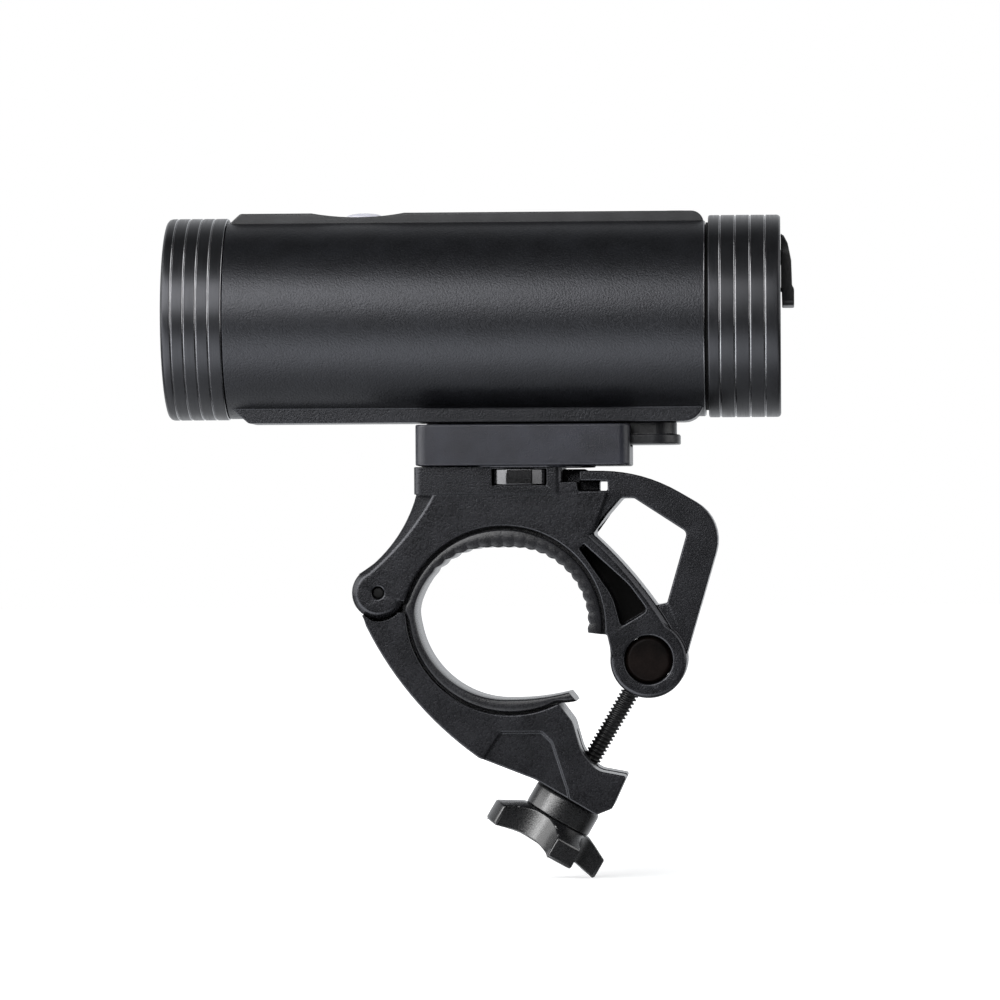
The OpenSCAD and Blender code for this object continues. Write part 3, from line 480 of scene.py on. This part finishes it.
EDGE_ROUNDS = {
    "top_strip": 0.2,
    "port_cover": 0.2,
    "rail": 0.2,
    "receiver_block": 0.3,
    "barrel_nut": 0.2,
    "knob_collar": 0.3,
    "clamp_knob": 0.3,
    "pivot_nut": 0.12,
    "pivot_screw": 0.15,
}
for name, rounding in EDGE_ROUNDS.items():
    softened(name, rounding * MM)


# Upper jaw

JAW_ROUND = 0.3 * MM
JAW_SEGMENTS = 4
BASE_ROUND = 0.15 * MM
WINDOW_SILL = 2.2 * MM
BASE_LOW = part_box("pivot_nut")[0].z - WINDOW_SILL
REAR_ARM_X = 10 * MM
REAR_ARM_TOP = 14 * MM
POCKET_FLOOR_Y = 5 * MM
FACES_SIDE = 0.9


def pocket_floor_painted_shade(face):
    """Whether a face of the upper jaw is the floor of one of its rear arm's pockets, which takes painted shade: a
    darker, duller copy of the jaw's plastic.
    """
    centre = face.calc_center_median()
    on_arm = centre.x > REAR_ARM_X and 0.0 < centre.z < REAR_ARM_TOP
    return on_arm and abs(face.normal.y) > FACES_SIDE and abs(centre.y) < POCKET_FLOOR_Y


def on_base(point):
    """Whether a point of the upper jaw is on its base, where the skin over the nut's window is thin."""
    return point.z > BASE_LOW and point.x < REAR_ARM_X


# The floors of the rear arm's pockets take the pocket material, which is painted shade
softened(
    "upper_jaw", JAW_ROUND, JAW_SEGMENTS, paint=pocket_floor_painted_shade, extra_slots=("pocket_painted_shade",),
    fine=(BASE_ROUND, on_base),
)


# Lower jaw and hinge

HINGE_AT = Vector(JOINTS["jaw_hinge"]["pos_m"])
KNUCKLE_R = 4.4 * MM
KNUCKLE_HALF = 4.02 * MM
SOCKET_R = 4.8 * MM
SOCKET_RIM = 0.6 * MM
ON_RADIUS = 0.03 * MM
TIP_ANGLES = (-165.0, -112.0)
TIP_CLOSED = 0.8
ROOT_ANGLES = (-112.0, -35.0)
ROOT_CLOSED = 0.95
EASE_ANGLE = 10.0
HINGE_ROUND = 0.08 * MM
PIN_SUNK = 0.7 * MM
PIN_ROUND = 0.12 * MM


def within(degrees, span):
    """1 inside a span of angles, 0 outside it, eased at its ends."""
    low, high = span
    return smooth(degrees, low - EASE_ANGLE, low) * (1 - smooth(degrees, high, high + EASE_ANGLE))


def closer_hinge(point):
    """Corners of the lower jaw moved so that no light shows through its hinge.

    The socket comes closer to the ears at the jaw's tip, and the knuckle fills it at its root.
    """
    out = Vector((point.x - HINGE_AT.x, 0.0, point.z - HINGE_AT.z))
    degrees = math.degrees(math.atan2(out.z, out.x))
    radius = out.length
    if abs(radius - SOCKET_R) < ON_RADIUS:
        radius -= TIP_CLOSED * (SOCKET_R - KNUCKLE_R) * within(degrees, TIP_ANGLES)
    elif abs(radius - KNUCKLE_R) < ON_RADIUS and abs(point.y) < KNUCKLE_HALF:
        radius += ROOT_CLOSED * (SOCKET_R - KNUCKLE_R) * within(degrees, ROOT_ANGLES)
    else:
        return point
    return Vector((HINGE_AT.x, point.y, HINGE_AT.z)) + out.normalized() * radius


def by_hinge(point):
    """Whether a point of the lower jaw is at its hinge, where its edges are finer."""
    return math.hypot(point.x - HINGE_AT.x, point.z - HINGE_AT.z) < SOCKET_R + SOCKET_RIM


def sunk_pin(point):
    """Ends of the hinge pin drawn in below the ears."""
    return point - Vector((0.0, math.copysign(PIN_SUNK, point.y), 0.0))


softened("lower_jaw", JAW_ROUND, JAW_SEGMENTS, shape=closer_hinge, fine=(HINGE_ROUND, by_hinge))
softened("hinge_pin", PIN_ROUND, shape=sunk_pin)


# Power button

DOME_INSET = 0.5 * MM
DOME_RISE = 0.75 * MM
DOME_WALL = 1.6 * MM
DOME_STEPS = 10
FLANGE_T = 0.7 * MM
STEM_R = 1.5 * MM
BUTTON_SIDES = 48
POLE_R = 0.02 * MM


def add_button():
    """A translucent dome over a flange, on the stem of the CAD's button."""
    low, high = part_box("power_button")
    centre = (low + high) / 2
    flange_r = (high.x - low.x) / 2
    dome_r = flange_r - DOME_INSET
    rim_z = high.z - DOME_RISE
    shoulder_z = rim_z - DOME_WALL
    profile = [
        (POLE_R, low.z),
        (STEM_R, low.z),
        (STEM_R, shoulder_z - FLANGE_T),
        (flange_r, shoulder_z - FLANGE_T),
        (flange_r, shoulder_z),
        (dome_r, shoulder_z),
        (dome_r, rim_z),
    ]
    for i in range(1, DOME_STEPS + 1):
        angle = math.pi / 2 * i / DOME_STEPS
        profile.append((max(POLE_R, dome_r * math.cos(angle)), rim_z + DOME_RISE * math.sin(angle)))
    bm = bmesh.new()
    turns = [2 * math.pi * k / BUTTON_SIDES for k in range(BUTTON_SIDES)]
    rows = []
    for r, z in profile:
        ring = [(centre.x + r * math.cos(turn), centre.y + r * math.sin(turn), z) for turn in turns]
        rows.append([bm.verts.new(point) for point in ring])
    loft(bm, rows)
    piece = place("power_button_dome", bm, BODY_OF["power_button"], SLOT_OF["power_button"])
    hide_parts("power_button")


add_button()


# Rubber liner of the clamp, with angles that run from the rear over the top and on under the handlebar

PAD_LOW, PAD_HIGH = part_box("lower_pad")
BAR_R = 12.7 * MM
# Circles that the liner follows, each a centre and a radius
UPPER_BORE = (Vector((-1.4, -0.7)) * MM, 17.02 * MM)
UPPER_SWELL = (Vector((-3.81, 0.0)) * MM, BAR_R)
LOWER_BORE = (Vector((-0.2, 2.3)) * MM, 17.42 * MM)
LOWER_INNER = (Vector((-0.9, 2.6)) * MM, 15.3 * MM)
TAIL_FLAT = (Vector((0.0, 25.4)) * MM, 38.1 * MM)
LINER_FROM, LINER_TO, LINER_STEP = -7.0, 309.5, 0.5
TOP_ANGLE = 90.0
TOP_FLAT_TO = 110.0
TOP_FLAT_RISE = 1.045
HINGE_ANGLE = 172.0
HINGE_EASE = (-10.0, 10.0)
HINGE_BULGE = 0.45 * MM
HINGE_BULGE_ANGLE = 4.0
BOTTOM_ANGLE = 270.0
BOTTOM_EASE = (-4.0, 10.0)
TAIL_ANGLE = 297.0
TAIL_EASE = (-6.0, 8.0)
TAIL_T = 1.35 * MM
TAIL_LIP = 0.55 * MM
RIB_ANGLE = 8.0
RIB_DEPTH = 0.28 * MM
RIBS_TO = 148.0
RIBS_EASE = (-6.0, 6.0)
FLANGE_W = 1.6 * MM
RIM_UPPER = 0.6 * MM
RIM_LOWER = 0.35 * MM
RIM_EASE = (-20.0, 20.0)
LINER_EDGE = 0.3 * MM


def eased(degrees, at, ease):
    """From 0 to 1 about an angle, over the span that ease gives before and after it."""
    before, after = ease
    return smooth(degrees, at + before, at + after)


def ray_out(angle, circle):
    """Distance from the handlebar's axis out to a circle round it, in that direction."""
    centre, radius = circle
    along = centre.dot(Vector((math.cos(angle), math.sin(angle))))
    return along + math.sqrt(along * along - centre.length_squared + radius * radius)


def liner_radii(degrees):
    """Inner and outer distance of the liner from the handlebar's axis."""
    angle = math.radians(degrees)
    upper_in = BAR_R
    if degrees > TOP_ANGLE:
        upper_in = max(BAR_R, ray_out(angle, UPPER_SWELL))
    if TOP_ANGLE < degrees < TOP_FLAT_TO:
        upper_in = max(upper_in, min(BAR_R / math.sin(angle), BAR_R * TOP_FLAT_RISE))
    lower_in = max(BAR_R, ray_out(angle, LOWER_INNER))
    tail_in = max(BAR_R, ray_out(angle, TAIL_FLAT))
    lower_in += (tail_in - lower_in) * eased(degrees, BOTTOM_ANGLE, BOTTOM_EASE)
    over = eased(degrees, HINGE_ANGLE, HINGE_EASE)
    inner = upper_in + (lower_in - upper_in) * over
    upper_out, lower_out = ray_out(angle, UPPER_BORE), ray_out(angle, LOWER_BORE)
    tail_out = lower_in + TAIL_T + TAIL_LIP * smooth(degrees, TAIL_ANGLE, LINER_TO)
    lower_out += (tail_out - lower_out) * eased(degrees, TAIL_ANGLE, TAIL_EASE)
    outer = upper_out + (lower_out - upper_out) * over
    outer += HINGE_BULGE * math.exp(-(((degrees - HINGE_ANGLE) / HINGE_BULGE_ANGLE) ** 2))
    ribbed = 1 - eased(degrees, RIBS_TO, RIBS_EASE)
    inner += ribbed * RIB_DEPTH * (1 - abs(math.sin(math.pi * degrees / RIB_ANGLE)))
    return inner, outer


def add_liner():
    """One rubber strip round the bore, ribbed over its upper half, that passes from the upper bore to the lower
    and swells a little where the jaws hinge.
    """
    half = (PAD_HIGH.y - PAD_LOW.y) / 2
    sunk = half - FLANGE_W
    edge = LINER_EDGE
    bm = bmesh.new()
    rows = []
    for i in range(int((LINER_TO - LINER_FROM) / LINER_STEP) + 1):
        degrees = LINER_FROM + i * LINER_STEP
        inner, outer = liner_radii(degrees)
        rim = outer - RIM_UPPER + (RIM_UPPER - RIM_LOWER) * eased(degrees, HINGE_ANGLE, RIM_EASE)
        near_side = [
            (sunk, outer),
            (sunk, rim),
            (half - edge, rim),
            (half - edge / 3, rim - edge / 3),
            (half, rim - edge),
            (half, inner + edge),
            (half - edge / 3, inner + edge / 3),
            (half - edge, inner),
        ]
        section = near_side + [(-y, r) for y, r in reversed(near_side)]
        cos, sin = math.cos(math.radians(degrees)), math.sin(math.radians(degrees))
        rows.append([bm.verts.new((r * cos, y, r * sin)) for y, r in section])
    loft(bm, rows)
    piece = place("jaw_liner", bm, None, "pad_rubber", sharp_angle=50.0)
    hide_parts("upper_pad", "lower_pad")
    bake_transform(piece)


add_liner()


# Threaded clamp screw

SCREW_AXIS = Vector(JOINTS["screw_travel"]["axis"]).normalized()
SCREW_FROM = Vector(JOINTS["knob_turn"]["pos_m"])
PITCH = 0.7 * MM
CREST_R = 1.56 * MM
ROOT_R = 1.2 * MM
END_R = 0.96 * MM
FLANK_STEEPNESS = 5.2
CREST_SHARE = 0.8
SCREW_SIDES = 32
ROWS_PER_TURN = 10


def add_screw():
    """A rolled thread: the radius rises and falls once a turn along the screw."""
    ends = [(v.co - SCREW_FROM).dot(SCREW_AXIS) for v in frame["nodes"]["clamp_screw"].data.vertices]
    first, last = min(ends), max(ends)
    side = SCREW_AXIS.cross(Vector((0, 1, 0))).normalized()
    other = SCREW_AXIS.cross(side)
    count = int((last - first) / PITCH * ROWS_PER_TURN)
    bm = bmesh.new()
    rows = []
    for i in range(count + 1):
        along = first + (last - first) * i / count
        limit = min(CREST_R, END_R + min(along - first, last - along))
        row = []
        for k in range(SCREW_SIDES):
            turn = k / SCREW_SIDES
            phase = (along / PITCH - turn) % 1.0
            fall = min(1.0, max(0.0, FLANK_STEEPNESS * abs(phase - 0.5) - CREST_SHARE))
            radius = min(limit, CREST_R - (CREST_R - ROOT_R) * fall)
            angle = 2 * math.pi * turn
            out = side * math.cos(angle) + other * math.sin(angle)
            row.append(bm.verts.new(SCREW_FROM + SCREW_AXIS * along + out * radius))
        rows.append(row)
    loft(bm, rows)
    piece = place("clamp_screw_thread", bm, BODY_OF["clamp_screw"], SLOT_OF["clamp_screw"], sharp_angle=60.0)
    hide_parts("clamp_screw")


add_screw()


# CAD nodes that show as they are

for name, node in frame["nodes"].items():
    if not node.hide_render:
        node.data.materials.clear()
        node.data.materials.append(MATERIALS[SLOT_OF[name]])
